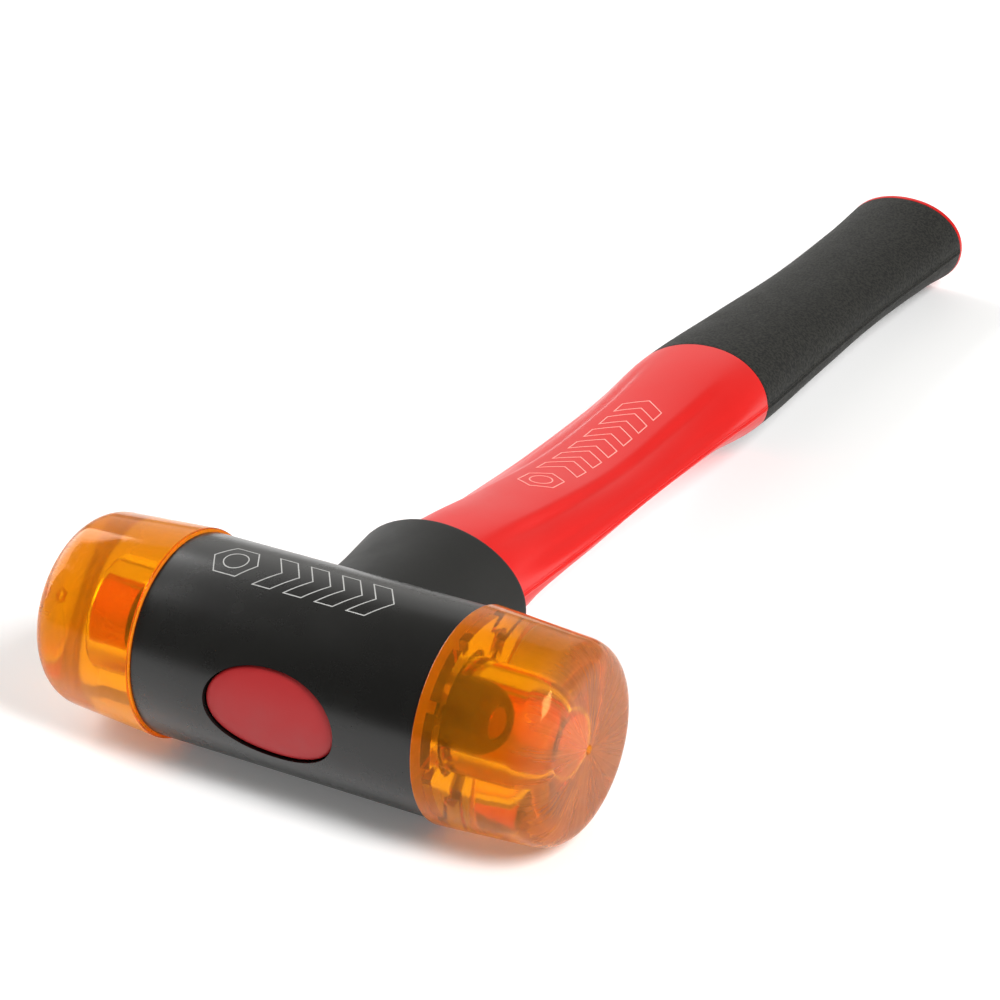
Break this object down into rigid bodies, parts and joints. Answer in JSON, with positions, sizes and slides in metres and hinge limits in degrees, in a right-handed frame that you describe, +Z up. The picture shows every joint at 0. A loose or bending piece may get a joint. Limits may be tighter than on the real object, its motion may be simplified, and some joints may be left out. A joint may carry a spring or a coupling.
{
  "type": "dead blow mallet",
  "caption": "Shot-filled steel tube head with screw-on amber plastic faces on an oval red handle with a black rubber collar and grip.",
  "frame": {"origin": "bottom centre of the tool's box, on the surface it lies on, with both face rims and the butt's rim touching z = 0", "axes": "+X along the head towards the right face, +Y from the head towards the butt of the handle, +Z up"},
  "size_m": [0.139, 0.3646, 0.0517],
  "materials": {
    "black_paint": "satin",
    "amber": "clear gloss",
    "red_jacket": "satin gloss",
    "black_rubber": "matte",
    "grip_rubber": "fine sandy texture",
    "seal_rubber": "matte",
    "dark_steel": "black oxide",
    "bright_steel": "pressed",
    "shot_steel": "rolled",
    "glass_fibre": "pultruded",
    "epoxy": "cast"
  },
  "bodies": {
    "mallet": {"head_tube": "black_paint", "eye_epoxy": "epoxy", "handle_core": "glass_fibre", "handle_jacket": "red_jacket", "collar": "black_rubber", "grip": "grip_rubber", "shot_cup_right": "bright_steel", "shot_cup_left": "bright_steel", "end_plug_right": "dark_steel", "end_plug_left": "dark_steel", "fill_plug_right": "bright_steel", "fill_plug_left": "bright_steel"},
    "right_seal": {"face_washer_right": "seal_rubber"},
    "right_face": {"face_right": "amber"},
    "right_shot": {"shot_right": "shot_steel"},
    "left_seal": {"face_washer_left": "seal_rubber"},
    "left_face": {"face_left": "amber"},
    "left_shot": {"shot_left": "shot_steel"}
  },
  "joints": [
    {"name": "face_right_advance", "type": "slide", "parent": "mallet", "child": "right_seal", "axis": [1, 0, 0], "range_m": [0, 0.0091]},
    {"name": "face_right_screw", "type": "hinge", "parent": "right_seal", "child": "right_face", "pos_m": [0.0384, -0.15644, 0.02587], "axis": [1, 0, 0], "range_deg": [0, 1080]},
    {"name": "shot_right_travel", "type": "slide", "parent": "mallet", "child": "right_shot", "axis": [1, 0, 0], "range_m": [0, 0.0026]},
    {"name": "face_left_advance", "type": "slide", "parent": "mallet", "child": "left_seal", "axis": [-1, 0, 0], "range_m": [0, 0.0091]},
    {"name": "face_left_screw", "type": "hinge", "parent": "left_seal", "child": "left_face", "pos_m": [-0.0384, -0.15644, 0.02587], "axis": [-1, 0, 0], "range_deg": [0, 1080]},
    {"name": "shot_left_travel", "type": "slide", "parent": "mallet", "child": "left_shot", "axis": [-1, 0, 0], "range_m": [0, 0.0026]}
  ],
  "couplings": [
    {"joint": "face_right_advance", "follows": "face_right_screw", "m_per_rad": 0.00047746},
    {"joint": "face_left_advance", "follows": "face_left_screw", "m_per_rad": 0.00047746}
  ]
}
